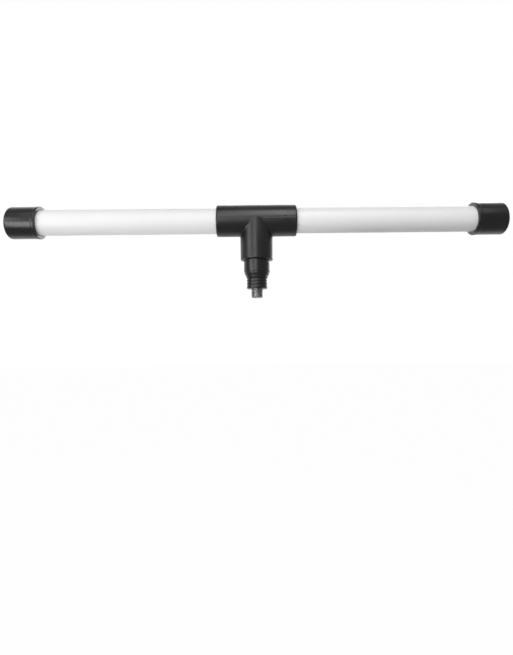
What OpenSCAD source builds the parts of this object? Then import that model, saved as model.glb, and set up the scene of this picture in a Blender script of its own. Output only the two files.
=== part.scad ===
// Indoor dipole antenna: two arm tubes in line on a tee, with a coaxial jack under the stem.
// The arms lie along X, the stem points down, and the front faces -Y.
// The origin is on the stem's axis at the lower face of the ribbed spigot.

/* [Arms] */
// Overall length over the two end caps
span = 409; // [320:1:560]
// Outer diameter of an arm tube
tube_od = 21.34; // [20.9:0.02:21.6]
// Bore of an arm tube
tube_id = 15.8; // [12:0.1:16.2]
// Bevel on a tube's cut ends
tube_bevel = 0.3; // [0.1:0.1:0.6]

/* [End caps] */
// Outer diameter of an end cap
cap_od = 26.7; // [25:0.1:30]
// Length of an end cap
cap_len = 25; // [15:0.5:40]
// Thickness of a cap's closed end
cap_end = 3; // [2:0.1:5]
// Rounding around the closed end
cap_round = 1.9; // [0.5:0.1:2.4]
// How far the bead at a cap's mouth stands proud
cap_bead = 0.25; // [0.1:0.05:0.6]

/* [Tee] */
// Outer diameter of the run that holds the arms
run_od = 26.4; // [25.8:0.1:26.5]
// Length of the run
run_len = 66; // [62:1:90]
// Rounding of the run's ends
run_round = 1.3; // [0.4:0.1:1.5]
// Depth of each arm socket
socket_depth = 17.5; // [12:0.5:17.5]
// Width of the stop ring behind each socket
stop_w = 2; // [1:0.1:2.2]
// Height of the run's axis above the spigot's lower face
axis_z = 56.9; // [55:0.1:70]
// Outer diameter of the stem at its mouth
stem_od = 26.6; // [26.6:0.1:27.4]
// Draft of the stem to each side, in degrees
stem_draft = 0.8; // [0:0.1:1]
// Height of the stem's mouth above the spigot's lower face
stem_z = 23.4; // [22:0.1:26]
// Radius of the fillet between the stem and the run
blend_r = 1.4; // [1:0.1:2.5]
// Depth of the stem's socket for the adapter
stem_socket = 17.4; // [12:0.2:18]
// Width of the groove along the joint between the two shells
seam_w = 0.5; // [0.2:0.1:0.8]
// Thickness and height of the tongue that lines up the shells
tongue = 0.8; // [0.5:0.1:1]

/* [Adapter] */
// Outer diameter of the adapter's sleeve
sleeve_od = 21.1; // [20.9:0.1:21.6]
// Height of the sleeve's lower edge
sleeve_z = 13.4; // [13.2:0.1:16]
// Bore of the sleeve
sleeve_id = 17; // [16:0.1:17.4]
// Outer diameter of the ribbed spigot
spigot_od = 16.6; // [16.2:0.1:17]
// Bore of the spigot
spigot_id = 13; // [12.9:0.1:13.2]
// Thickness of the spigot's floor
floor_t = 2.5; // [2:0.1:3]
// Distance from one rib of the spigot to the next
rib_pitch = 2.4; // [2.2:0.1:2.6]
// Width and depth of the grooves between the ribs
rib_groove = [0.9, 0.4];

/* [Coaxial jack] */
// Outer diameter of the threaded barrel, over the thread
barrel_od = 9.525; // [9.3:0.005:9.55]
// Length of the barrel below the spigot
barrel_len = 7.3; // [6:0.1:14]
// Bore of the barrel for the insulator
barrel_id = 5.6; // [5:0.1:6.4]
// Width across the flats of the jack's hexagon
hex_af = 11; // [10.5:0.1:11.2]

/* [Balun] */
// Width, thickness and height of the circuit board
board = [12, 1, 25];
// Height of the board's lower edge
board_z = 8; // [7.6:0.1:8.4]
// Width, thickness and height of the ferrite core
core = [7.4, 4.2, 7];
// Height of the core's lower face
core_z = 17; // [16.8:0.1:17.4]
// Diameter of the winding wire
wire_d = 0.6; // [0.5:0.05:0.6]
// Diameter of a lead, over its insulation
lead_d = 1.4; // [1:0.1:1.6]

/* [Elements] */
// Diameter of a dipole rod
rod_d = 4; // [3:0.1:5]
// Distance from the stem's axis to a rod's inner end
rod_start = 12.5; // [11:0.5:13]
// Gap between a rod's outer end and the cap's closed end
rod_end_gap = 5; // [2:0.5:12]
// Thickness of a spacer disc
spacer_t = 6; // [3:0.5:10]

/* [Hidden] */
$fn = 96;

// Clearance of a push fit, to each side
slip = 0.05;
// Overshoot of a cut past the face that it opens
over = 1;
half_span = span / 2;
tube_r = tube_od / 2;
socket_r = tube_r + slip;
lead_in = 0.5;

// Along the run
run_r = run_od / 2;
run_half = run_len / 2;
stop_outer = run_half - socket_depth;
stop_inner = stop_outer - stop_w;
wall_mid = (socket_r + run_r) / 2;
cap_mouth = half_span - cap_len;
tube_end = half_span - cap_end;

// Down the stem
stem_r = stem_od / 2;
stem_top_r = stem_r + (axis_z - stem_z) * tan(stem_draft);
stem_round = 1.1;
// The fillet's ball sinks this far into both surfaces, so that they cross at a clear angle
blend_sink = 0.03;
blend_over = 0.25;
tongue_inset = 3;
tongue_root = 0.5;
sleeve_r = sleeve_od / 2;
shoulder_z = stem_z + stem_socket;
spigot_r = spigot_od / 2;
collar_r = 10;
collar_h = 1.1;
cone_z = 8.4;
cone_end_z = sleeve_z - collar_h;
first_groove_z = 3.1;
groove_count = 4;
spigot_edge = 0.5;

// The jack, up its axis
barrel_r = barrel_od / 2;
thread_relief = 0.16;
neck_r = barrel_r - thread_relief;
hex_h = 2.5;
rear_r = 4.6;
rear_h = 2;
rear_top = floor_t + hex_h + rear_h;
ring_t = 0.6;
post_w = 1;
post_h = 4;
post_x = 3.4;
pin_r = 0.4;
contact_r = 1;
contact_bore_r = 0.5;
insulator_recess = 0.3;
insulator_mouth = 0.5;
insulator_front = insulator_recess - barrel_len;
contact_front = insulator_front + insulator_mouth;
contact_back = rear_top - 1.5;
contact_floor = 2.5;
insulator_back = rear_top - 0.4;

// The board's front face touches the contact's pin
board_y = pin_r;
core_y = board_y - core[1] / 2;
hole_x = 1.6;
hole_r = 1;
wire_r = wire_d / 2;
winding_shift = 0.45;
leg_x = hole_x - sqrt(pow(hole_r - wire_r, 2) - pow(winding_shift, 2));
tail_bend = 0.8;
tail_gap = 2.3;
chip = [1.25, 0.9, 2];
chip_z = board_z + 3.6;
lead_r = lead_d / 2;
lead_x = 4;
lead_y = board_y - lead_r;
lead_bend = 4;
lead_foot = 4.5;

// The rods
rod_r = rod_d / 2;
ferrule_wall = 0.6;
ferrule_start = rod_start - 2.5;
ferrule_len = 7;
rod_end = tube_end - rod_end_gap;
spacer_inset = 4;
inner_spacer_x = stop_outer + spacer_inset;
outer_spacer_x = rod_end - spacer_t - spacer_inset;

// Points of an arc about c, from angle a0 to a1
function arc(c, r, a0, a1, n = 6) =
    [for (i = [0:n]) let (a = a0 + (a1 - a0) * i / n) [c[0] + r * cos(a), c[1] + r * sin(a)]];

// Radius of the spigot over its rib crests: straight, then a cone up to the collar
function crest_r(z) =
    z < cone_z ? spigot_r : spigot_r + (collar_r - spigot_r) * (z - cone_z) / (cone_end_z - cone_z);

// Corners of one groove between two ribs, with its middle at height z
function groove_points(z) = let (w = rib_groove[0], d = rib_groove[1]) [
    [crest_r(z - w / 2), z - w / 2],
    [crest_r(z) - d, z - w / 4],
    [crest_r(z) - d, z + w / 4],
    [crest_r(z + w / 2), z + w / 2]
];

// Outward normals of the run and of the drafted stem, at an angle around their own axes
function run_normal(a) = [0, sin(a), -cos(a)];
function stem_normal(a) = [cos(a) * cos(stem_draft), sin(a) * cos(stem_draft), -sin(stem_draft)];

// Centre of a ball that rolls in the corner between the run and the stem, at angle a around the run
function ball_centre(a) = let (
    away = run_r + blend_r - blend_sink,
    y = away * sin(a),
    z = axis_z - away * cos(a),
    reach = stem_r + (z - stem_z) * tan(stem_draft) + (blend_r - blend_sink) / cos(stem_draft)
) [sqrt(reach * reach - y * y), y, z];

// One section of the fillet: an arc of the ball from the run to the stem, then a root inside the walls
function blend_section(a, steps) = let (
    c = ball_centre(a),
    n1 = run_normal(a),
    n2 = stem_normal(atan2(c[1], c[0])),
    whole = acos(n1 * n2),
    turn = [for (i = [0:steps]) (n1 * sin(whole * (1 - i / steps)) + n2 * sin(whole * i / steps)) / sin(whole)]
) concat([for (n = turn) c - blend_r * n], [c - (blend_r + blend_over) * (n1 + n2)]);

// Turns a solid of revolution so that its axis lies along X at the run's height
module along_run() {
    translate([0, 0, axis_z]) rotate([0, 90, 0]) children();
}

// A copy of the right-hand piece on the left
module on_left() {
    mirror([1, 0, 0]) children();
}

// Ring sector of a bent wire in the XZ plane, between two angles
module bend_xz(bend_r, wire_radius, from, sweep) {
    rotate([90, 0, 0]) rotate([0, 0, from]) rotate_extrude(angle = sweep)
        translate([bend_r, 0]) circle(r = wire_radius, $fn = 48);
}

// Arm tube on the right: it butts on the stop ring and on the cap's closed end
module arm_tube() {
    r = tube_r;
    bore = tube_id / 2;
    b = tube_bevel;
    color("white") along_run() rotate_extrude() polygon([
        [bore, stop_outer], [r - b, stop_outer], [r, stop_outer + b],
        [r, tube_end - b], [r - b, tube_end], [bore, tube_end]
    ]);
}

// End cap on the right: closed end, long cup and a low bead around the mouth
module end_cap() {
    r = cap_od / 2;
    bead_r = r + cap_bead;
    bead_w = 2.2;
    bead_fade = 0.8;
    edge = 0.4;
    color([0.06, 0.06, 0.065]) along_run() rotate_extrude() polygon(concat(
        [[socket_r + edge, cap_mouth], [bead_r - edge, cap_mouth]],
        [[bead_r, cap_mouth + edge], [bead_r, cap_mouth + bead_w], [r, cap_mouth + bead_w + bead_fade]],
        arc([r - cap_round, half_span - cap_round], cap_round, 0, 90),
        [[0, half_span], [0, tube_end], [socket_r, tube_end], [socket_r, cap_mouth + edge]]
    ));
}

// Outside of the run, a cylinder with rounded ends
module run_outside() {
    e = run_round;
    along_run() rotate_extrude() polygon(concat(
        [[0, -run_half]],
        arc([run_r - e, e - run_half], e, -90, 0, 4),
        arc([run_r - e, run_half - e], e, 0, 90, 4),
        [[0, run_half]]
    ));
}

// Inside of the run: two sockets with lead-ins, two stop rings and the chamber between them
module run_inside() {
    stop_r = tube_id / 2;
    right = [
        [socket_r, stop_inner], [stop_r, stop_inner], [stop_r, stop_outer], [socket_r, stop_outer],
        [socket_r, run_half - lead_in], [socket_r + lead_in, run_half], [socket_r + lead_in, run_half + over],
        [0, run_half + over]
    ];
    left = [for (i = [len(right) - 1:-1:0]) [right[i][0], -right[i][1]]];
    along_run() rotate_extrude() polygon(concat(left, right));
}

// Outside of the stem, drafted, from its mouth up to the joint between the shells
module stem_outside() {
    e = stem_round;
    rotate_extrude() polygon(concat(
        [[0, stem_z]],
        arc([stem_r - e, stem_z + e], e, -90, 0, 4),
        [[stem_top_r, axis_z], [0, axis_z]]
    ));
}

// Inside of the stem: a socket for the adapter, its shoulder and the passage to the chamber
module stem_inside() {
    r = sleeve_r + slip;
    rotate_extrude() polygon([
        [0, stem_z - over], [r + lead_in, stem_z - over], [r + lead_in, stem_z], [r, stem_z + lead_in],
        [r, shoulder_z], [sleeve_id / 2, shoulder_z], [sleeve_id / 2, axis_z], [0, axis_z]
    ]);
}

// Fillet in the corner between the run and the stem, on the right
module stem_blend() {
    steps = 6;
    count = 28;
    reach = 92;
    ring = steps + 2;
    points = [for (i = [0:count]) each blend_section(reach * (2 * i / count - 1), steps)];
    sides = [for (i = [0:count - 1], k = [0:ring - 1]) let (
        a = i * ring + k,
        b = i * ring + (k + 1) % ring
    ) each [[a, b, b + ring], [a, b + ring, a + ring]]];
    ends = [[for (k = [ring - 1:-1:0]) k], [for (k = [0:ring - 1]) count * ring + k]];
    intersection() {
        polyhedron(points, concat(sides, ends));
        half_space(-1);
    }
}

// The tongue along both walls of the run, or its groove when it is grown by gap
module tongues(gap) {
    for (side = [-1, 1])
        translate([0, side * wall_mid, axis_z + (tongue + gap - tongue_root) / 2])
            cube([run_len + 2 * (gap - tongue_inset), tongue + 2 * gap, tongue + gap + tongue_root], center = true);
}

// The V cut along the joint on the outside of the run
module seam_cut() {
    for (side = [-1, 1])
        translate([0, side * run_r, axis_z]) rotate([45, 0, 0])
            cube([run_len + 2 * over, seam_w / sqrt(2), seam_w / sqrt(2)], center = true);
}

// Everything on one side of the joint between the shells
module half_space(side) {
    size = run_len + stem_od;
    translate([-size / 2, -size / 2, side > 0 ? axis_z : axis_z - size]) cube(size);
}

// Upper shell of the tee, a half pipe with a groove in each edge
module tee_upper_shell() {
    color([0.07, 0.07, 0.075]) difference() {
        intersection() {
            run_outside();
            half_space(1);
        }
        run_inside();
        tongues(slip);
        seam_cut();
    }
}

// Lower shell of the tee, a half pipe with the stem and a tongue on each edge
module tee_lower_shell() {
    color([0.06, 0.06, 0.065]) difference() {
        union() {
            intersection() {
                run_outside();
                half_space(-1);
            }
            stem_outside();
            stem_blend();
            on_left() stem_blend();
            tongues(0);
        }
        run_inside();
        stem_inside();
        seam_cut();
    }
}

// Adapter in the stem: sleeve, grooved cone, ribbed spigot and a floor with the jack's hole
module stem_adapter() {
    edge = 0.4;
    hole_r = barrel_r + slip;
    bore_top_z = sleeve_z - 2;
    seat = sleeve_id / 2;
    color([0.08, 0.08, 0.085]) rotate_extrude() polygon(concat(
        [[hole_r, 0], [spigot_r - spigot_edge, 0], [spigot_r, spigot_edge]],
        [for (k = [0:groove_count - 1]) each groove_points(first_groove_z + k * rib_pitch)],
        [[collar_r, cone_end_z], [collar_r, sleeve_z], [sleeve_r - edge, sleeve_z]],
        [[sleeve_r, sleeve_z + edge], [sleeve_r, shoulder_z - edge], [sleeve_r - edge, shoulder_z]],
        [[seat, shoulder_z], [seat, sleeve_z], [spigot_id / 2, bore_top_z]],
        [[spigot_id / 2, floor_t], [hole_r, floor_t]]
    ));
}

// Metal body of the jack: barrel, neck, hexagon, rear boss and four posts that grip the board
module connector_shell() {
    chamfer = 0.5;
    color([0.72, 0.72, 0.7]) difference() {
        union() {
            rotate_extrude() polygon([
                [0, -barrel_len], [barrel_r - chamfer, -barrel_len], [barrel_r, chamfer - barrel_len],
                [barrel_r, 0], [neck_r, 0], [neck_r, floor_t], [rear_r, floor_t], [rear_r, rear_top], [0, rear_top]
            ]);
            translate([0, 0, floor_t]) cylinder(d = hex_af / cos(30), h = hex_h, $fn = 6);
            for (x = [-post_x, post_x], y = [board_y - post_w, board_y + board[1]])
                translate([x - post_w / 2, y, rear_top - 0.5]) cube([post_w, post_w, post_h + 0.5]);
        }
        translate([0, 0, -barrel_len - over]) cylinder(d = barrel_id, h = barrel_len + rear_top + 2 * over);
    }
}

// Insulator of the jack, with a small mouth in front of the contact
module connector_insulator() {
    mouth_r = 0.65;
    color([0.93, 0.92, 0.88]) rotate_extrude() polygon([
        [mouth_r, insulator_front], [barrel_id / 2, insulator_front], [barrel_id / 2, insulator_back],
        [pin_r, insulator_back], [pin_r, contact_back], [contact_r, contact_back],
        [contact_r, contact_front], [mouth_r, contact_front]
    ]);
}

// Spring contact of the jack: a slotted tube with a solder pin behind it
module connector_contact() {
    slot_w = 0.25;
    slot_h = 4;
    pin_top = board_z + 3;
    tube_floor = contact_back - contact_floor;
    color([0.8, 0.65, 0.3]) difference() {
        rotate_extrude() polygon([
            [contact_bore_r, contact_front], [contact_r, contact_front], [contact_r, contact_back],
            [pin_r, contact_back], [pin_r, pin_top], [0, pin_top], [0, tube_floor], [contact_bore_r, tube_floor]
        ]);
        for (turn = [0, 90])
            rotate([0, 0, turn]) translate([-slot_w / 2, -over - contact_r, contact_front - over])
                cube([slot_w, 2 * (over + contact_r), slot_h + over]);
    }
}

// Spring ring that bites the spigot's bore and keeps the jack's hexagon on the floor
module retaining_ring() {
    notch_count = 6;
    notch_w = 1.6;
    notch_depth = 0.8;
    r = spigot_id / 2;
    color([0.6, 0.62, 0.65]) translate([0, 0, floor_t + hex_h]) difference() {
        cylinder(r = r, h = ring_t);
        translate([0, 0, -over]) cylinder(r = rear_r + slip, h = ring_t + 2 * over);
        for (k = [0:notch_count - 1])
            rotate([0, 0, k * 360 / notch_count]) translate([r - notch_depth, -notch_w / 2, -over])
                cube([notch_depth + over, notch_w, ring_t + 2 * over]);
    }
}

// Circuit board, edge-on between the jack's posts
module balun_board() {
    color([0.1, 0.35, 0.2]) translate([-board[0] / 2, board_y, board_z]) cube(board);
}

// Two-hole ferrite core on the board's front face
module balun_core() {
    end_r = core[1] / 2;
    color([0.25, 0.25, 0.27]) translate([0, core_y, core_z]) linear_extrude(core[2]) difference() {
        union() {
            square([core[0] - core[1], core[1]], center = true);
            for (x = [-1, 1]) translate([x * (core[0] / 2 - end_r), 0]) circle(r = end_r);
        }
        for (x = [-hole_x, hole_x]) translate([x, 0]) circle(r = hole_r);
    }
}

// One winding: a loop closed over the core at height closed_z, with two tails that bend back to the board
// at the other end. dir is 1 if the loop closes above the core, and -1 if below.
module winding(y, closed_z, tail_z, dir) {
    bend_z = tail_z + dir * tail_bend;
    translate([0, y, closed_z]) bend_xz(leg_x, wire_r, dir > 0 ? 0 : 180, 180);
    for (x = [-leg_x, leg_x]) {
        translate([x, y, min(bend_z, closed_z)]) cylinder(r = wire_r, h = abs(closed_z - bend_z), $fn = 48);
        translate([x, y + tail_bend, bend_z]) rotate([0, 0, 90])
            bend_xz(tail_bend, wire_r, dir > 0 ? 180 : 90, 90);
        translate([x, y + tail_bend, tail_z]) rotate([-90, 0, 0])
            cylinder(r = wire_r, h = board_y - y - tail_bend, $fn = 48);
    }
}

// Winding on the jack's side, with its tails below the core
module line_winding() {
    color([0.75, 0.35, 0.15]) winding(core_y - winding_shift, core_z + core[2], core_z - tail_gap, 1);
}

// Winding on the antenna's side, with its tails above the core
module antenna_winding() {
    color([0.85, 0.5, 0.2]) winding(core_y + winding_shift, core_z, core_z + core[2] + tail_gap, -1);
}

// Chip capacitor between the contact's pin and the line winding
module coupling_capacitor() {
    color([0.7, 0.62, 0.5]) translate([-chip[0] / 2, board_y - chip[1], chip_z]) cube(chip);
}

// Lead on the right: up the board's face, through the stem and round to the rod's end
module element_lead() {
    foot_z = board_z + board[2] - lead_foot;
    bend_z = axis_z - lead_bend;
    color([0.7, 0.1, 0.1]) translate([0, lead_y, 0]) {
        translate([lead_x, 0, foot_z]) cylinder(r = lead_r, h = bend_z - foot_z, $fn = 48);
        translate([lead_x + lead_bend, 0, bend_z]) bend_xz(lead_bend, lead_r, 90, 90);
        translate([lead_x + lead_bend, 0, axis_z]) rotate([0, 90, 0])
            cylinder(r = lead_r, h = rod_start - lead_x - lead_bend, $fn = 48);
    }
}

// Crimp sleeve on the right, around the lead's end and the rod's
module ferrule() {
    color([0.75, 0.6, 0.3]) along_run() translate([0, 0, ferrule_start]) difference() {
        cylinder(r = rod_r + ferrule_wall, h = ferrule_len);
        translate([0, 0, -over]) cylinder(r = rod_r, h = ferrule_len + 2 * over);
    }
}

// Dipole rod on the right
module element() {
    color([0.8, 0.8, 0.82]) along_run() translate([0, 0, rod_start]) cylinder(r = rod_r, h = rod_end - rod_start);
}

// Spacer disc around the rod, with its inner face at x
module spacer(x) {
    color([0.9, 0.88, 0.8]) along_run() translate([0, 0, x]) difference() {
        cylinder(r = tube_id / 2, h = spacer_t);
        translate([0, 0, -over]) cylinder(r = rod_r, h = spacer_t + 2 * over);
    }
}

on_left() arm_tube();  // left_tube
arm_tube();  // right_tube
on_left() end_cap();  // left_end_cap
end_cap();  // right_end_cap
tee_upper_shell();
tee_lower_shell();
stem_adapter();
connector_shell();
connector_insulator();
connector_contact();
retaining_ring();
balun_board();
balun_core();
line_winding();
antenna_winding();
coupling_capacitor();
on_left() element_lead();  // left_lead
element_lead();  // right_lead
on_left() ferrule();  // left_ferrule
ferrule();  // right_ferrule
on_left() element();  // left_element
element();  // right_element
on_left() spacer(inner_spacer_x);  // left_inner_spacer
spacer(inner_spacer_x);  // right_inner_spacer
on_left() spacer(outer_spacer_x);  // left_outer_spacer
spacer(outer_spacer_x);  // right_outer_spacer
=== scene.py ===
import math

import bmesh
import bpy
import numpy as np
from mathutils import Euler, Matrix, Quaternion, Vector


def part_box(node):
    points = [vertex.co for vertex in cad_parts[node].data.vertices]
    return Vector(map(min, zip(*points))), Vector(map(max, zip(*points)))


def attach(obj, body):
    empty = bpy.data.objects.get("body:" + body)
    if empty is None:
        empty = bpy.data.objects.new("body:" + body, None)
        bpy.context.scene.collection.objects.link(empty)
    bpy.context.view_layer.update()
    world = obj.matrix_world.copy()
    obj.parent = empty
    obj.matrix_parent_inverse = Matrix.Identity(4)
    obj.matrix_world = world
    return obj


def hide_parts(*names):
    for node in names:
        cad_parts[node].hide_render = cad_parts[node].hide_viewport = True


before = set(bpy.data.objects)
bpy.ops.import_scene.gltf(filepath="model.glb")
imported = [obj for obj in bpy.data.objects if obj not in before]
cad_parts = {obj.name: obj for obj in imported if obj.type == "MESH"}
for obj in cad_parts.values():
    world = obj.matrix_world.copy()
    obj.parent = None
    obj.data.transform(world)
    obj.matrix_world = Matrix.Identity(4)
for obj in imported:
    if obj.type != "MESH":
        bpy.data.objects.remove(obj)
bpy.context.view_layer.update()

# Sizes are in millimetres here and become metres in the meshes.
MM = 0.001
TINY = 1e-6


def span_mm(node, axis):
    """Lowest and highest coordinate of a CAD node along one axis, in millimetres."""
    low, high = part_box(node)
    return low[axis] / MM, high[axis] / MM


# Places and outer sizes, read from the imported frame
run_end = span_mm("tee_upper_shell", 0)[1]
seam_z, run_top = span_mm("tee_upper_shell", 2)
run_r = run_top - seam_z
stem_z = span_mm("tee_lower_shell", 2)[0]
tube_start, tube_end = span_mm("right_tube", 0)
tube_r = (span_mm("right_tube", 2)[1] - span_mm("right_tube", 2)[0]) / 2
cap_mouth, cap_face = span_mm("right_end_cap", 0)
sleeve_r = span_mm("stem_adapter", 0)[1]
shoulder_z = span_mm("stem_adapter", 2)[1]
barrel_z = span_mm("connector_shell", 2)[0]

# Sizes that the boxes don't show, as in the part's source, and the roundings of edges.
# Tubes and their fit
slip = 0.05
socket_r = tube_r + slip
tube_bore = 7.9
tube_rounding = 0.3
lead_in = 0.5

# Tee
stop_width = 2.0
run_rounding = 1.3
stem_r = 13.3
stem_draft = math.radians(0.8)
stem_rounding = 1.1
blend_r = 1.4
seam_width = 0.5
tongue = 0.8
tongue_inset = 3.0
tongue_root = 0.5
groove_overlap = 1

# Caps
cap_r = 13.35
cap_rounding = 1.9
bead_r = cap_r + 0.25
bead_width = 2.2
bead_slope = 0.8
bead_rounding = 0.5
bead_foot_rounding = 0.6
mouth_flare = 0.4
mouth_inner_rounding = 0.1
mouth_outer_rounding = 0.4

# Adapter
sleeve_bore = 8.5
sleeve_z = 13.4
sleeve_rounding = 0.4
bore_taper = 2
spigot_r = 8.3
spigot_bore = 6.5
spigot_rounding = 0.5
floor_top = 2.5
cone_z = 8.4
collar_r = 10.0
collar_height = 1.1
collar_rounding = 0.2
rib_pitch = 2.4
rib_rounding = 0.18
first_groove = 3.1
groove_count = 4
groove_width = 0.9
groove_depth = 0.4
groove_rounding = 0.12

# Jack
barrel_r = 9.525 / 2
barrel_bore = 2.8
barrel_chamfer = 0.5
thread_pitch = 25.4 / 32
thread_depth = 0.42
thread_flank = 1.25
thread_start = 0.3
thread_fade_in = 0.5
thread_fade_out = 0.4
neck_r = barrel_r - 0.16
hex_flats = 11.0
hex_top = 5.0
rear_r = 4.6
rear_top = 7.0
post_width = 1.0
post_height = 4.0
post_x = 3.4
board_face = 0.4
board_thickness = 1.0


# Meshes

def finish_mesh(name, verts, faces, replaces, sharp=35):
    """A piece from points in millimetres, smooth except across edges sharper than the angle."""
    mesh = bpy.data.meshes.new(name)
    mesh.from_pydata([tuple(v) for v in np.asarray(verts) * MM], [], faces)
    work = bmesh.new()
    work.from_mesh(mesh)
    bmesh.ops.recalc_face_normals(work, faces=work.faces)
    work.to_mesh(mesh)
    work.free()
    mesh.shade_smooth()
    mesh.set_sharp_from_angle(angle=math.radians(sharp))
    piece = bpy.data.objects.new(name, mesh)
    bpy.context.scene.collection.objects.link(piece)
    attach(piece, "root")
    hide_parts(*replaces)
    return piece


def rounded(corners, steps=7):
    """Points of an outline whose corners are (radius, height) or (radius, height, rounding)."""
    points = []
    count = len(corners)
    for i, corner in enumerate(corners):
        here = np.array(corner[:2], float)
        rounding = corner[2] if len(corner) > 2 else 0
        if not rounding:
            points.append(here)
            continue
        before = np.array(corners[i - 1][:2], float) - here
        after = np.array(corners[(i + 1) % count][:2], float) - here
        before /= np.linalg.norm(before)
        after /= np.linalg.norm(after)
        half = math.acos(np.clip(before @ after, -1, 1)) / 2
        middle = (before + after) / np.linalg.norm(before + after)
        centre = here + middle * rounding / math.sin(half)
        first = here + before * rounding / math.tan(half) - centre
        last = here + after * rounding / math.tan(half) - centre
        a, b = math.atan2(first[1], first[0]), math.atan2(last[1], last[0])
        turn = (b - a + math.pi) % (2 * math.pi) - math.pi
        for k in range(steps + 1):
            angle = a + turn * k / steps
            points.append(centre + rounding * np.array([math.cos(angle), math.sin(angle)]))
    return points


def lathe(name, corners, replaces, side=0, segments=128):
    """A solid of revolution: around the stem's axis with side 0, else along the run to +X or -X."""
    outline = rounded(corners)
    verts, rings = [], []
    for radius, height in outline:
        ring = []
        for k in range(segments if radius > TINY else 1):
            angle = 2 * math.pi * k / segments
            u, v = radius * math.cos(angle), radius * math.sin(angle)
            ring.append(len(verts))
            verts.append((side * height, u, seam_z + v) if side else (u, v, height))
        rings.append(ring)
    faces = []
    for low, high in zip(rings, rings[1:] + rings[:1]):
        if len(low) == 1 and len(high) == 1:
            continue
        for k in range(segments):
            n = (k + 1) % segments
            face = [
                low[k % len(low)], low[n % len(low)], high[n % len(high)], high[k % len(high)],
            ]
            faces.append(list(dict.fromkeys(face)))
    return finish_mesh(name, verts, faces, replaces)


def slopes(distance, points, small):
    """How the distance changes along each axis at the points."""
    columns = []
    for unit in np.eye(3):
        ahead = distance(*(points + small * unit).T)
        behind = distance(*(points - small * unit).T)
        columns.append((ahead - behind) / (2 * small))
    return np.stack(columns, 1)


def net(name, distance, low, high, step, replaces):
    """A mesh where distance(x, y, z) is 0, by surface nets whose points then move onto it."""
    settle_rounds = 6
    least_slope = 0.2
    low, high = np.array(low, float), np.array(high, float)
    counts = np.ceil((high - low) / step).astype(int) + 1
    axes = [low[i] + step * np.arange(counts[i]) for i in range(3)]
    values = distance(*np.meshgrid(*axes, indexing="ij"))
    inside = values < 0
    corners = [(i, j, k) for i in (0, 1) for j in (0, 1) for k in (0, 1)]

    def corner(array, offset):
        return array[tuple(slice(o, o + n - 1) for o, n in zip(offset, counts))]

    some = np.zeros(counts - 1, bool)
    every = np.ones(counts - 1, bool)
    for offset in corners:
        some |= corner(inside, offset)
        every &= corner(inside, offset)
    cells = some & ~every
    index = np.full(cells.shape, -1)
    index[cells] = np.arange(cells.sum())
    points = low + step * (np.argwhere(cells) + 0.5)
    quads = []
    for axis in range(3):
        one, two = [a for a in range(3) if a != axis]
        ahead = np.roll(inside, -1, axis)
        edge = inside != ahead
        edge[tuple(slice(-1, None) if a == axis else slice(None) for a in range(3))] = False
        at = np.argwhere(edge)
        around = []
        for da, db in ((0, 0), (1, 0), (1, 1), (0, 1)):
            cell = at.copy()
            cell[:, one] -= da
            cell[:, two] -= db
            around.append(index[tuple(cell.T)])
        quads.append(np.stack(around, 1))
    for _ in range(settle_rounds):
        here = distance(*points.T)
        slope = slopes(distance, points, step / 200)
        size = np.maximum((slope**2).sum(1), least_slope)
        move = -(here / size)[:, None] * slope
        points += np.clip(move, -step / 2, step / 2)
    faces = np.concatenate(quads).tolist()
    return finish_mesh(name, points, faces, replaces, sharp=50)


# Distances to the tee's forms, in millimetres, negative inside

def rounded_edge(a, b, rounding):
    """The part inside both a and b, with a rounding where their surfaces meet."""
    a, b = a + rounding, b + rounding
    outer = np.hypot(np.maximum(a, 0), np.maximum(b, 0))
    return np.minimum(np.maximum(a, b), 0) + outer - rounding


def run_outside(x, y, z):
    """The run with its rounded ends."""
    return rounded_edge(np.hypot(y, z - seam_z) - run_r, np.abs(x) - run_end, run_rounding)


def stem_outside(x, y, z):
    """The drafted stem, rounded around its mouth and open at the top."""
    wide = np.hypot(x, y) - stem_r - (z - stem_z) * math.tan(stem_draft)
    return rounded_edge(wide * math.cos(stem_draft), stem_z - z, stem_rounding)


def blended(a, b, slant, radius):
    """Two forms joined with a fillet of the radius. The slant is the cosine between normals."""
    u, v = radius - a, radius - b
    corner = (u > 0) & (v > 0) & (u > slant * v) & (v > slant * u)
    squared = np.maximum(u * u + v * v - 2 * u * v * slant, 0)
    away = np.sqrt(squared / np.maximum(1 - slant * slant, TINY))
    return np.where(corner, radius - away, np.minimum(a, b))


def run_inside(x, y, z):
    """The sockets, the stop rings and the chamber between them."""
    radial = np.hypot(y, z - seam_z)
    away = np.abs(x)
    flare = lead_in - np.clip(run_end - away, 0, lead_in)
    wide = radial - socket_r - flare
    ring = np.maximum(tube_start - stop_width - away, away - tube_start)
    return np.maximum(wide, -np.maximum(ring, tube_bore - radial))


def stem_inside(x, y, z):
    """The adapter's socket, its shoulder and the passage to the chamber."""
    radial = np.hypot(x, y)
    flare = lead_in - np.clip(z - stem_z, 0, lead_in)
    socket = np.maximum(radial - sleeve_r - slip - flare, z - shoulder_z)
    passage = np.maximum(radial - sleeve_bore, z - seam_z)
    return np.minimum(socket, passage)


def tongues(x, y, z, gap):
    """The tongue on each wall of the run, or its groove."""
    middle = (socket_r + run_r) / 2
    across = np.abs(np.abs(y) - middle) - tongue / 2 - gap
    along = np.abs(x) - run_end + tongue_inset - gap
    return np.maximum(np.maximum(across, along), z - seam_z - tongue - gap)


def seam_cut(x, y, z):
    """The V along the joint between the shells, on the outside."""
    return (np.abs(np.abs(y) - run_r) + np.abs(z - seam_z) - seam_width / 2) / math.sqrt(2)


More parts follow.
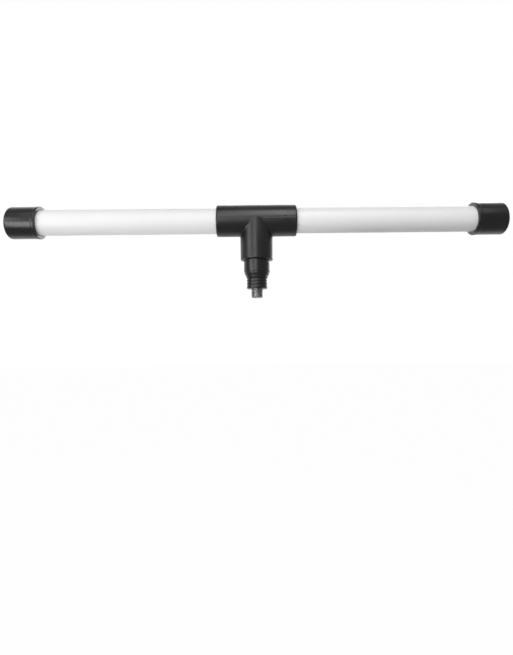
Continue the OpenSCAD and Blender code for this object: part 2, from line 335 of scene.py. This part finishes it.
def upper_shell(x, y, z):
    body = np.maximum(run_outside(x, y, z), seam_z - z)
    groove = np.maximum(tongues(x, y, z, slip), seam_z - groove_overlap - z)
    holes = np.minimum(run_inside(x, y, z), seam_cut(x, y, z))
    return np.maximum(body, -np.minimum(holes, groove))


def lower_shell(x, y, z):
    slant = y * y / np.maximum(np.hypot(y, z - seam_z) * np.hypot(x, y), TINY)
    outside = blended(run_outside(x, y, z), stem_outside(x, y, z), slant, blend_r)
    body = np.maximum(outside, z - seam_z)
    body = np.minimum(body, np.maximum(tongues(x, y, z, 0), seam_z - tongue_root - z))
    holes = np.minimum(run_inside(x, y, z), np.minimum(stem_inside(x, y, z), seam_cut(x, y, z)))
    return np.maximum(body, -holes)


# Materials

class Paint:
    """One node material: a Principled shader with textures for colour, roughness and bump."""

    def __init__(self, name, colour, roughness, metallic=0.0, specular=0.5):
        self.material = bpy.data.materials.new(name)
        self.material.use_nodes = True
        self.tree = self.material.node_tree
        self.shader = self.tree.nodes["Principled BSDF"]
        self.shader.inputs["Base Color"].default_value = (*colour, 1)
        self.shader.inputs["Roughness"].default_value = roughness
        self.shader.inputs["Metallic"].default_value = metallic
        self.shader.inputs["Specular IOR Level"].default_value = specular
        self.colour = colour
        self.height = None

    def node(self, kind, **values):
        made = self.tree.nodes.new(kind)
        for key, value in values.items():
            setattr(made, key, value)
        return made

    def link(self, out, into):
        self.tree.links.new(out, into)

    def place(self, scale):
        """Object coordinates stretched by a scale along each axis."""
        coordinates = self.node("ShaderNodeTexCoord")
        mapping = self.node("ShaderNodeMapping")
        mapping.inputs["Scale"].default_value = scale
        self.link(coordinates.outputs["Object"], mapping.inputs["Vector"])
        return mapping.outputs["Vector"]

    def noise(self, scale, stretch=(1, 1, 1), detail=3.0, rough=0.5):
        texture = self.node("ShaderNodeTexNoise")
        texture.inputs["Scale"].default_value = scale
        texture.inputs["Detail"].default_value = detail
        texture.inputs["Roughness"].default_value = rough
        self.link(self.place(stretch), texture.inputs["Vector"])
        return texture.outputs["Fac"]

    def spread(self, value, low, high, start=0.3, stop=0.7):
        """A value brought from start..stop to low..high."""
        ramp = self.node("ShaderNodeMapRange")
        ramp.inputs["From Min"].default_value = start
        ramp.inputs["From Max"].default_value = stop
        ramp.inputs["To Min"].default_value = low
        ramp.inputs["To Max"].default_value = high
        self.link(value, ramp.inputs["Value"])
        return ramp.outputs["Result"]

    def vary_roughness(self, value, low, high):
        self.link(self.spread(value, low, high), self.shader.inputs["Roughness"])

    def vary_colour(self, value, other, most=1.0, start=0.3, stop=0.7):
        """Colour that goes from the base towards another one with the value."""
        mix = self.node("ShaderNodeMix", data_type="RGBA")
        mix.inputs["A"].default_value = (*self.colour, 1)
        mix.inputs["B"].default_value = (*other, 1)
        self.link(self.spread(value, 0.0, most, start, stop), mix.inputs["Factor"])
        self.link(mix.outputs["Result"], self.shader.inputs["Base Color"])

    def bump(self, value, depth, strength=1.0):
        """Adds relief of about the depth, in millimetres."""
        node = self.node("ShaderNodeBump")
        node.inputs["Strength"].default_value = strength
        node.inputs["Distance"].default_value = depth * MM
        self.link(value, node.inputs["Height"])
        if self.height:
            self.link(self.height, node.inputs["Normal"])
        self.height = node.outputs["Normal"]
        self.link(self.height, self.shader.inputs["Normal"])


def tube_paint():
    """White pipe: streaks along the arm from extrusion and a very slow change of tone."""
    paint = Paint("tube_plastic", (0.8, 0.8, 0.8), roughness=0.4, specular=0.4)
    streaks = paint.noise(scale=260, stretch=(0.03, 1, 1), detail=5)
    paint.vary_roughness(streaks, low=0.34, high=0.46)
    paint.vary_colour(paint.noise(scale=22, stretch=(0.5, 1, 1)), other=(0.77, 0.77, 0.772))
    paint.bump(streaks, depth=0.02)
    paint.bump(paint.noise(scale=900, stretch=(0.2, 1, 1)), depth=0.004)
    return paint.material


def black_paint(name, roughness, grain, grain_depth):
    """Black moulded plastic: a fine grain, slow sheen changes and a few dull scuffs."""
    black = (0.003, 0.003, 0.0032)
    lighter = tuple(c * 1.8 for c in black)
    paint = Paint(name, black, roughness, specular=0.5)
    slow = paint.noise(scale=70, detail=4, rough=0.6)
    scuffs = paint.noise(scale=160, detail=6, rough=0.65)
    paint.vary_roughness(slow, low=roughness - 0.06, high=roughness + 0.08)
    paint.vary_colour(scuffs, lighter, start=0.45, stop=0.8)
    paint.bump(slow, depth=0.05, strength=0.6)
    paint.bump(paint.noise(grain, detail=2), grain_depth)
    return paint.material


def metal_paint(name, colour, roughness, stretch):
    """Drawn or plated metal with fine lines along one direction and a little tarnish."""
    tarnish = (0.1, 0.09, 0.08)
    paint = Paint(name, colour, roughness, metallic=1.0)
    lines = paint.noise(scale=400, stretch=stretch, detail=4)
    patches = paint.noise(scale=500, detail=5, rough=0.6)
    paint.vary_roughness(lines, low=roughness - 0.06, high=roughness + 0.1)
    paint.vary_colour(patches, tarnish, most=0.4, start=0.45, stop=0.75)
    paint.bump(lines, depth=0.006)
    return paint.material


def plain_paint(name, colour, other, roughness, scale, depth=0.01):
    """Small inner pieces: two close tones and a fine grain."""
    paint = Paint(name, colour, roughness)
    grain = paint.noise(scale, detail=4)
    paint.vary_colour(grain, other)
    paint.vary_roughness(grain, low=roughness - 0.05, high=roughness + 0.07)
    paint.bump(grain, depth)
    return paint.material


def board_paint():
    """Green lacquer with lighter copper tracks under it."""
    paint = Paint("board_lacquer", (0.02, 0.13, 0.05), roughness=0.35)
    brick = paint.node("ShaderNodeTexBrick")
    brick.inputs["Scale"].default_value = 180
    brick.inputs["Mortar Size"].default_value = 0.05
    brick.inputs["Color1"].default_value = (0, 0, 0, 1)
    brick.inputs["Color2"].default_value = (0, 0, 0, 1)
    brick.inputs["Mortar"].default_value = (1, 1, 1, 1)
    paint.link(paint.place((1, 1, 1)), brick.inputs["Vector"])
    paint.vary_colour(brick.outputs["Color"], other=(0.05, 0.3, 0.1), start=0, stop=1)
    paint.bump(paint.noise(scale=1500), depth=0.01)
    return paint.material


def coat(piece, material):
    piece.data.materials.clear()
    piece.data.materials.append(material)


# Pieces

def make_tube(side, material):
    node = "right_tube" if side > 0 else "left_tube"
    corners = [
        (tube_bore, tube_start), (tube_r, tube_start, tube_rounding),
        (tube_r, tube_end, tube_rounding), (tube_bore, tube_end),
    ]
    name = node.replace("tube", "arm_tube")
    coat(lathe(name, corners, [node], side), material)


def make_cap(side, material):
    """Closed end, straight wall and a low bead around the mouth, with a softened rim."""
    node = "right_end_cap" if side > 0 else "left_end_cap"
    bead_end = cap_mouth + bead_width
    corners = [
        (socket_r + mouth_flare, cap_mouth, mouth_inner_rounding),
        (bead_r, cap_mouth, mouth_outer_rounding), (bead_r, bead_end, bead_rounding),
        (cap_r, bead_end + bead_slope, bead_foot_rounding), (cap_r, cap_face, cap_rounding),
        (0, cap_face), (0, tube_end), (socket_r, tube_end), (socket_r, cap_mouth + mouth_flare),
    ]
    name = node.replace("end_cap", "cap")
    coat(lathe(name, corners, [node], side), material)


def make_tee(material):
    """Both shells, meshed with a margin around each."""
    step = 0.4
    edge = 1.0
    side = run_r + edge
    upper = net(
        "upper_shell", upper_shell, (-run_end - edge, -side, seam_z - edge),
        (run_end + edge, side, run_top + edge), step, ["tee_upper_shell"],
    )
    side = run_r + 2 * edge
    lower = net(
        "lower_shell", lower_shell, (-run_end - edge, -side, stem_z - edge),
        (run_end + edge, side, seam_z + 2 * edge), step, ["tee_lower_shell"],
    )
    coat(upper, material)
    coat(lower, material)


def crest_r(z):
    """Radius over the rib crests: straight, then a cone up to the collar."""
    slope = (collar_r - spigot_r) / (sleeve_z - collar_height - cone_z)
    return spigot_r + max(0, z - cone_z) * slope


def make_adapter(material):
    """Sleeve, collar, cone and ribbed spigot, with a floor that holds the jack."""
    corners = [(barrel_r + slip, 0), (spigot_r, 0, spigot_rounding)]
    for k in range(groove_count):
        z = first_groove + k * rib_pitch
        half = groove_width / 2
        bottom = crest_r(z) - groove_depth
        corners += [
            (crest_r(z - half), z - half, rib_rounding), (bottom, z - half / 2, groove_rounding),
            (bottom, z + half / 2, groove_rounding), (crest_r(z + half), z + half, rib_rounding),
        ]
    corners += [
        (collar_r, sleeve_z - collar_height, collar_rounding), (collar_r, sleeve_z),
        (sleeve_r, sleeve_z, sleeve_rounding), (sleeve_r, shoulder_z, sleeve_rounding),
        (sleeve_bore, shoulder_z), (sleeve_bore, sleeve_z), (spigot_bore, sleeve_z - bore_taper),
        (spigot_bore, floor_top), (barrel_r + slip, floor_top),
    ]
    coat(lathe("adapter", corners, ["stem_adapter"]), material)


def thread_radius(z, angle):
    """Radius of the barrel: a V thread with flat crests that fades out at both ends."""
    turn = (z / thread_pitch - angle / (2 * math.pi)) % 1.0
    ridge = abs(2 * turn - 1)
    fade_in = min(1, max(0, (z - barrel_z - thread_start) / thread_fade_in))
    fade_out = min(1, max(0, -z / thread_fade_out))
    depth = thread_depth * fade_in * fade_out
    return barrel_r - depth * (1 - min(1.0, thread_flank * ridge))


def make_barrel():
    """The jack's body: threaded barrel, neck, hexagon and rear boss, open right through."""
    segments = 96
    rows_per_turn = 10
    rows = int(-barrel_z / thread_pitch * rows_per_turn)
    tip_r = barrel_r - barrel_chamfer
    first_z = barrel_z + barrel_chamfer / 2
    levels = [("plain", barrel_bore, barrel_z), ("plain", tip_r, barrel_z)]
    for i in range(rows + 1):
        z = first_z + (-barrel_z - barrel_chamfer / 2) * i / rows
        levels.append(("thread", 0, z))
    levels += [
        ("plain", neck_r, 0), ("plain", neck_r, floor_top), ("hex", hex_flats, floor_top),
        ("hex", hex_flats, hex_top), ("plain", rear_r, hex_top), ("plain", rear_r, rear_top),
        ("plain", barrel_bore, rear_top),
    ]
    verts = []
    for kind, size, z in levels:
        for k in range(segments):
            angle = 2 * math.pi * k / segments
            radius = size
            if kind == "thread":
                radius = min(thread_radius(z, angle), tip_r + (z - barrel_z))
            if kind == "hex":
                off_flat = (angle + math.pi / 6) % (math.pi / 3) - math.pi / 6
                radius = size / 2 / math.cos(off_flat)
            verts.append((radius * math.cos(angle), radius * math.sin(angle), z))
    faces = []
    for i in range(len(levels)):
        j = (i + 1) % len(levels)
        for k in range(segments):
            n = (k + 1) % segments
            corners = (i, k), (i, n), (j, n), (j, k)
            faces.append([level * segments + column for level, column in corners])
    return verts, faces


def add_box(low, high, verts, faces):
    """Adds a closed box to a list of points and faces."""
    start = len(verts)
    for k in range(8):
        verts.append(tuple(high[i] if k >> i & 1 else low[i] for i in range(3)))
    sides = (0, 2, 3, 1), (4, 5, 7, 6), (0, 1, 5, 4), (2, 6, 7, 3), (0, 4, 6, 2), (1, 3, 7, 5)
    for side in sides:
        faces.append([start + k for k in side])


def make_jack(material):
    """The jack's body and the four posts that grip the board."""
    verts, faces = make_barrel()
    for x in (-post_x, post_x):
        for y in (board_face - post_width, board_face + board_thickness):
            low = (x - post_width / 2, y, rear_top)
            high = (x + post_width / 2, y + post_width, rear_top + post_height)
            add_box(low, high, verts, faces)
    piece = finish_mesh("jack_body", verts, faces, ["connector_shell"], sharp=30)
    coat(piece, material)


def dress_nodes(paints):
    """Gives every CAD node that stays its material, by the ending of its name."""
    for name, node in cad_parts.items():
        for ending, material in paints.items():
            if name.endswith(ending):
                coat(node, material)


def build():
    tube_plastic = tube_paint()
    cap_plastic = black_paint("cap_plastic", roughness=0.25, grain=700, grain_depth=0.003)
    tee_plastic = black_paint("tee_plastic", roughness=0.31, grain=1500, grain_depth=0.012)
    adapter_plastic = black_paint(
        "adapter_plastic", roughness=0.31, grain=1800, grain_depth=0.008
    )
    for side in (-1, 1):
        make_tube(side, tube_plastic)
        make_cap(side, cap_plastic)
    make_tee(tee_plastic)
    make_adapter(adapter_plastic)
    make_jack(metal_paint("jack_nickel", (0.36, 0.35, 0.335), 0.3, stretch=(1, 1, 6)))
    dress_nodes({
        "connector_insulator": plain_paint(
            "insulator_plastic", (0.75, 0.73, 0.66), (0.66, 0.63, 0.55), 0.45, scale=900
        ),
        "spacer": plain_paint(
            "spacer_plastic", (0.7, 0.68, 0.62), (0.62, 0.6, 0.53), 0.5, scale=400
        ),
        "connector_contact": metal_paint("contact_brass", (0.7, 0.5, 0.2), 0.25, (1, 1, 6)),
        "ferrule": metal_paint("ferrule_brass", (0.68, 0.5, 0.22), 0.32, (0.2, 1, 1)),
        "element": metal_paint("rod_aluminium", (0.75, 0.76, 0.78), 0.3, (0.05, 1, 1)),
        "retaining_ring": metal_paint("ring_steel", (0.4, 0.41, 0.43), 0.28, (1, 1, 1)),
        "balun_board": board_paint(),
        "balun_core": plain_paint(
            "core_ferrite", (0.03, 0.03, 0.032), (0.06, 0.06, 0.062), 0.7, scale=1200, depth=0.03
        ),
        "winding": metal_paint("winding_copper", (0.55, 0.2, 0.07), 0.3, (1, 1, 1)),
        "coupling_capacitor": plain_paint(
            "chip_body", (0.4, 0.3, 0.18), (0.3, 0.22, 0.12), 0.5, scale=1500
        ),
        "lead": plain_paint(
            "lead_sleeve", (0.35, 0.02, 0.02), (0.25, 0.015, 0.015), 0.45, scale=900
        ),
    })


# Stage, light and camera. Places and sizes are in metres from here on.

white = (1, 1, 1, 1)
backdrop_tone = 1.0
room_tone = 0.4
ramp_start, ramp_stop = 0.15, 0.58
fill_strength = 0.15
floor_drop = 0.6
floor_half = 9.0
floor_colour = (0.6, 0.6, 0.6, 1)
floor_glow_share = 0.985

# Name, place, aim, width, height, watts and whether gloss mirrors the lamp. The last one stands
# in for light that the surroundings throw back on the underside of the left arm.
lamps = [
    ("overhead", (0.0, -0.71, 0.79), (0, 0, 0.06), 1.6, 0.76, 3.95, True),
    ("overhead_right", (0.14, -0.71, 0.79), (0.02, 0, 0.06), 0.24, 0.7, 2.6, True),
    ("strip_left", (-0.15, -0.88, 0.22), (-0.02, 0, 0.06), 0.18, 0.95, 1.5, True),
    ("left_window", (-0.33, -0.88, 0.16), (0, 0, 0.04), 0.36, 0.5, 0.85, True),
    ("left_lamp", (-0.63, -0.76, -0.26), (-0.2, 0, 0.05), 0.24, 0.5, 2.7, True),
    ("left_side", (-1.01, -0.735, 0.2), (0, 0, 0.04), 0.6, 0.6, 3.4, True),
    ("rear", (0.35, 1.15, 0.5), (0, 0, 0.04), 1.3, 0.8, 9, True),
    ("left_bounce", (0.0, -0.03, -0.25), (-0.24, -0.02, -0.17), 0.3, 0.3, 0.43, False),
]


def seen_factor(tree):
    """1 for the rays that see the background: camera, glossy and transmission."""
    path = tree.nodes.new("ShaderNodeLightPath")
    first = tree.nodes.new("ShaderNodeMath")
    second = tree.nodes.new("ShaderNodeMath")
    first.operation = second.operation = "MAXIMUM"
    tree.links.new(path.outputs["Is Camera Ray"], first.inputs[0])
    tree.links.new(path.outputs["Is Glossy Ray"], first.inputs[1])
    tree.links.new(first.outputs[0], second.inputs[0])
    tree.links.new(path.outputs["Is Transmission Ray"], second.inputs[1])
    return second.outputs[0]


def backdrop_strength(tree, place):
    """White behind the object, going over softly into a pale grey room in front of it."""
    away = tree.nodes.new("ShaderNodeVectorMath")
    away.operation = "NORMALIZE"
    parts = tree.nodes.new("ShaderNodeSeparateXYZ")
    ramp = tree.nodes.new("ShaderNodeMapRange")
    ramp.interpolation_type = "SMOOTHSTEP"
    ramp.inputs["From Min"].default_value = ramp_start
    ramp.inputs["From Max"].default_value = ramp_stop
    ramp.inputs["To Min"].default_value = room_tone
    ramp.inputs["To Max"].default_value = backdrop_tone
    tree.links.new(place, away.inputs[0])
    tree.links.new(away.outputs["Vector"], parts.inputs[0])
    tree.links.new(parts.outputs["Y"], ramp.inputs["Value"])
    return ramp.outputs["Result"]


def make_world():
    """A dim even fill for the light, and the backdrop's tone for what is seen."""
    world = bpy.data.worlds.new("studio")
    bpy.context.scene.world = world
    world.use_nodes = True
    tree = world.node_tree
    tree.nodes.clear()
    fill = tree.nodes.new("ShaderNodeBackground")
    fill.inputs["Color"].default_value = white
    fill.inputs["Strength"].default_value = fill_strength
    seen = tree.nodes.new("ShaderNodeBackground")
    seen.inputs["Color"].default_value = white
    direction = tree.nodes.new("ShaderNodeTexCoord").outputs["Generated"]
    tree.links.new(backdrop_strength(tree, direction), seen.inputs["Strength"])
    mix = tree.nodes.new("ShaderNodeMixShader")
    out = tree.nodes.new("ShaderNodeOutputWorld")
    tree.links.new(seen_factor(tree), mix.inputs["Fac"])
    tree.links.new(fill.outputs[0], mix.inputs[1])
    tree.links.new(seen.outputs[0], mix.inputs[2])
    tree.links.new(mix.outputs[0], out.inputs["Surface"])


def make_floor():
    """A wide pale floor that shows the backdrop's tone and still takes the object's shadow."""
    corners = [(-1, -1), (1, -1), (1, 1), (-1, 1)]
    mesh = bpy.data.meshes.new("floor")
    mesh.from_pydata(
        [(x * floor_half, y * floor_half, -floor_drop) for x, y in corners], [], [(0, 1, 2, 3)]
    )
    floor = bpy.data.objects.new("floor", mesh)
    bpy.context.scene.collection.objects.link(floor)
    material = bpy.data.materials.new("floor_pale")
    material.use_nodes = True
    tree = material.node_tree
    tree.nodes.clear()
    matt = tree.nodes.new("ShaderNodeBsdfDiffuse")
    matt.inputs["Color"].default_value = floor_colour
    glow = tree.nodes.new("ShaderNodeEmission")
    place = tree.nodes.new("ShaderNodeTexCoord").outputs["Object"]
    tree.links.new(backdrop_strength(tree, place), glow.inputs["Strength"])
    share = tree.nodes.new("ShaderNodeMath")
    share.operation = "MULTIPLY"
    share.inputs[1].default_value = floor_glow_share
    mix = tree.nodes.new("ShaderNodeMixShader")
    out = tree.nodes.new("ShaderNodeOutputMaterial")
    tree.links.new(seen_factor(tree), share.inputs[0])
    tree.links.new(share.outputs[0], mix.inputs["Fac"])
    tree.links.new(matt.outputs[0], mix.inputs[1])
    tree.links.new(glow.outputs[0], mix.inputs[2])
    tree.links.new(mix.outputs[0], out.inputs["Surface"])
    floor.data.materials.append(material)


def softbox(name, place, aim, width, height, watts, mirrored):
    """A rectangular lamp that the camera doesn't see."""
    data = bpy.data.lights.new(name, "AREA")
    data.shape = "RECTANGLE"
    data.size = width
    data.size_y = height
    data.energy = watts
    lamp = bpy.data.objects.new(name, data)
    bpy.context.scene.collection.objects.link(lamp)
    lamp.location = place
    lamp.visible_camera = False
    lamp.visible_glossy = mirrored
    lamp.rotation_euler = (Vector(aim) - Vector(place)).to_track_quat("-Z", "Y").to_euler()


def make_camera():
    """The photograph's view: from below the arms, looking up a little, and slightly rolled."""
    photo_height = 655
    focal_px = 448
    shift_px = -59.1
    below_arms = 0.09624
    pitch = math.radians(90 + 8.8)
    roll = math.radians(-0.56)
    data = bpy.data.cameras.new("camera")
    data.sensor_width = 36
    data.lens = data.sensor_width * focal_px / photo_height
    data.shift_y = shift_px / photo_height
    data.clip_start = 0.01
    data.clip_end = 50
    camera = bpy.data.objects.new("camera", data)
    bpy.context.scene.collection.objects.link(camera)
    camera.location = (-0.0004, -0.36305, seam_z * MM - below_arms)
    upward = Euler((pitch, 0, 0)).to_quaternion()
    camera.rotation_euler = (upward @ Quaternion((0, 0, 1), roll)).to_euler()
    bpy.context.scene.camera = camera


bpy.context.scene.view_settings.view_transform = "Standard"
make_camera()
make_world()
make_floor()
for lamp in lamps:
    softbox(*lamp)
build()
